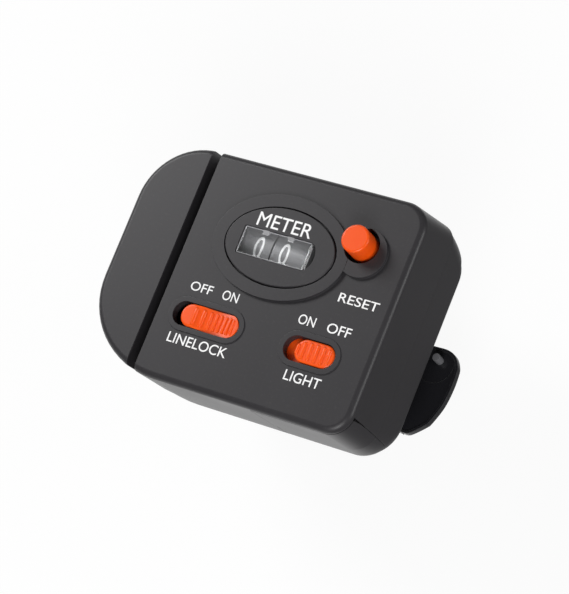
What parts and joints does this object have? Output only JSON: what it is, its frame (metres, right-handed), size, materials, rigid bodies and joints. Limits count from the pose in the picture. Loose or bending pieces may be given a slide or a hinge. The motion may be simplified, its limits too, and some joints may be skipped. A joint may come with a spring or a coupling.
{
  "type": "fishing line counter",
  "caption": "Clip-on fishing line counter with a line slot, number drums, reset button, line lock, light switch and a sprung rod clamp.",
  "frame": {"origin": "middle of the rubber saddle's flat face, which rests on the rod", "axes": "+X across the face to the right of the numbers, +Y along the rod towards its tip, +Z out of the face"},
  "size_m": [0.0781, 0.0586, 0.0546],
  "materials": {
    "black_plastic": "satin moulded black",
    "gloss_black_plastic": "polished moulded black",
    "orange_plastic": "moulded orange",
    "white_plastic": "natural acetal",
    "drum_plastic": "moulded black drum",
    "clear_lens": "polished clear plastic",
    "rubber": "soft black rubber",
    "steel": "bright steel",
    "brass": "cut brass",
    "board_green": "green circuit board",
    "lamp_clear": "clear lamp resin"
  },
  "bodies": {
    "housing": {"front_housing": "black_plastic", "line_cap": "black_plastic", "back_cover": "black_plastic", "bezel_plate": "black_plastic", "window_lens": "clear_lens", "saddle_pad": "rubber", "housing_screw_1": "steel", "housing_screw_2": "steel", "housing_screw_3": "steel", "housing_screw_4": "steel", "housing_screw_5": "steel", "housing_screw_6": "steel", "guide_pin_lower": "steel", "guide_pin_upper": "steel", "gear_plate": "white_plastic", "end_plate": "white_plastic", "first_axle": "steel", "second_axle": "steel", "transfer_axle": "steel", "rocker_pin": "steel", "circuit_board": "board_green", "led": "lamp_clear", "switch_body": "gloss_black_plastic", "contact_lower": "brass", "contact_upper": "brass", "battery_cell_lower": "steel", "battery_cell_upper": "steel", "reset_spring": "steel", "hinge_pin": "steel", "clamp_spring": "steel"},
    "line_wheel": {"measuring_wheel": "white_plastic", "wheel_tyre": "rubber", "wheel_axle": "steel", "wheel_pinion": "brass"},
    "first_reducer": {"first_gear": "white_plastic"},
    "second_reducer": {"second_gear": "white_plastic"},
    "units": {"final_gear": "white_plastic", "carry_gear": "brass", "drum_shaft": "steel", "units_drum": "drum_plastic", "reset_cam": "brass"},
    "transfer": {"transfer_gear": "brass"},
    "tens": {"tens_drum": "drum_plastic"},
    "line_lock": {"linelock_knob": "orange_plastic", "linelock_slider": "black_plastic", "gate_arm": "steel"},
    "light_switch": {"light_knob": "orange_plastic", "light_slider": "orange_plastic"},
    "button": {"reset_button": "orange_plastic"},
    "rocker": {"reset_rocker": "white_plastic"},
    "door": {"battery_door": "black_plastic"},
    "clamp": {"clamp_lever": "gloss_black_plastic", "jaw_pad": "rubber", "stop_post": "steel"}
  },
  "joints": [
    {"name": "wheel_spin", "type": "hinge", "parent": "housing", "child": "line_wheel", "pos_m": [-0.01005, 0.006, 0.0112], "axis": [1, 0, 0], "continuous": true},
    {"name": "first_gear_spin", "type": "hinge", "parent": "housing", "child": "first_reducer", "pos_m": [-0.01005, 0.00291, 0.01969], "axis": [1, 0, 0], "continuous": true},
    {"name": "second_gear_spin", "type": "hinge", "parent": "housing", "child": "second_reducer", "pos_m": [-0.01005, 0.00177, 0.01073], "axis": [1, 0, 0], "continuous": true},
    {"name": "units_spin", "type": "hinge", "parent": "housing", "child": "units", "pos_m": [-0.01005, 0.01015, 0.0176], "axis": [1, 0, 0], "continuous": true},
    {"name": "transfer_spin", "type": "hinge", "parent": "housing", "child": "transfer", "pos_m": [-0.01005, 0.01437, 0.01029], "axis": [1, 0, 0], "continuous": true},
    {"name": "tens_spin", "type": "hinge", "parent": "housing", "child": "tens", "pos_m": [-0.01005, 0.01015, 0.0176], "axis": [1, 0, 0], "continuous": true},
    {"name": "linelock_slide", "type": "slide", "parent": "housing", "child": "line_lock", "axis": [1, 0, 0], "range_m": [-0.0021, 0]},
    {"name": "light_slide", "type": "slide", "parent": "housing", "child": "light_switch", "axis": [1, 0, 0], "range_m": [-0.0027, 0]},
    {"name": "reset_press", "type": "slide", "parent": "housing", "child": "button", "axis": [0, 0, -1], "range_m": [0, 0.0024], "stiffness_N_per_m": 350, "springref_m": -0.0015, "deforming": ["reset_spring"]},
    {"name": "rocker_tilt", "type": "hinge", "parent": "housing", "child": "rocker", "pos_m": [0.0292, 0.01605, 0.0118], "axis": [0, 1, 0], "range_deg": [0, 23]},
    {"name": "door_slide", "type": "slide", "parent": "housing", "child": "door", "axis": [0, -1, 0], "range_m": [0, 0.01]},
    {"name": "clamp_tilt", "type": "hinge", "parent": "housing", "child": "clamp", "pos_m": [0.0165, -0.00422, -0.007], "axis": [0, -1, 0], "range_deg": [0, 13], "stiffness_Nm_per_rad": 0.6, "springref_deg": -14.32}
  ],
  "couplings": [
    {"joint": "first_gear_spin", "follows": "wheel_spin", "ratio": -0.2},
    {"joint": "second_gear_spin", "follows": "wheel_spin", "ratio": 0.04},
    {"joint": "units_spin", "follows": "wheel_spin", "ratio": -0.005},
    {"joint": "transfer_spin", "follows": "wheel_spin", "ratio": 0.002},
    {"joint": "tens_spin", "follows": "wheel_spin", "ratio": -0.0005},
    {"joint": "rocker_tilt", "follows": "reset_press", "rad_per_m": 166.67}
  ]
}
